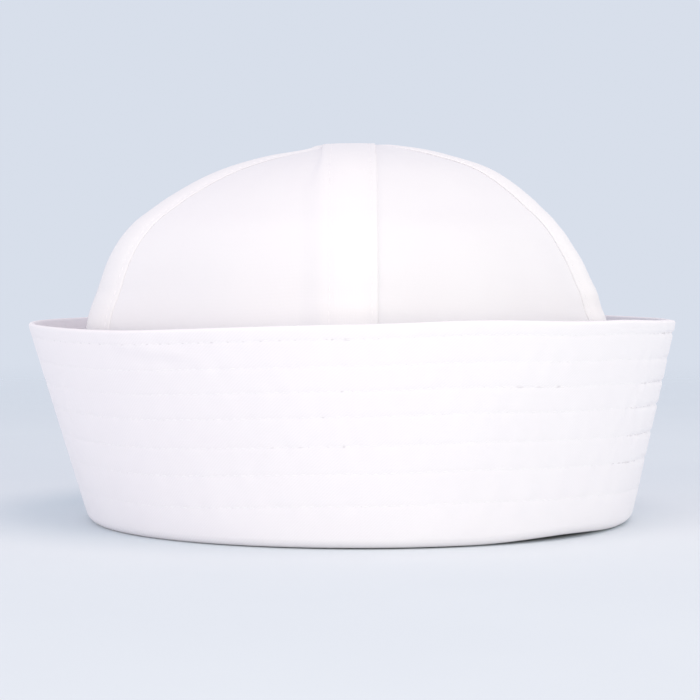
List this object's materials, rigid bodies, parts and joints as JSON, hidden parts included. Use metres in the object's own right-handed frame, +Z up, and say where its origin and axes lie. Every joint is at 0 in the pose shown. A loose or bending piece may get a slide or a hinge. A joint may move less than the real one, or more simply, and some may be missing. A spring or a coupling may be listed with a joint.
{
  "type": "sailor cap",
  "caption": "White cotton sailor cap with a domed crown of lapped gores and a stiff brim, stitched in rows and turned up all round, open below for the head.",
  "frame": {"origin": "under the middle of the cap's outline, on the surface that it rests on", "axes": "+Z up through the crown, -Y towards the front, +X to the right as seen from the front"},
  "size_m": [0.216, 0.2386, 0.1262],
  "materials": {
    "brim_twill": "matte white cotton twill, stitched in rows",
    "crown_cotton": "matte white cotton, thinner than the brim"
  },
  "bodies": {
    "root": {"brim": "brim_twill", "crown_gore_front_left": "crown_cotton", "crown_gore_front_right": "crown_cotton", "crown_gore_left": "crown_cotton", "crown_gore_right": "crown_cotton", "crown_gore_back_left": "crown_cotton", "crown_gore_back_right": "crown_cotton"}
  },
  "joints": []
}
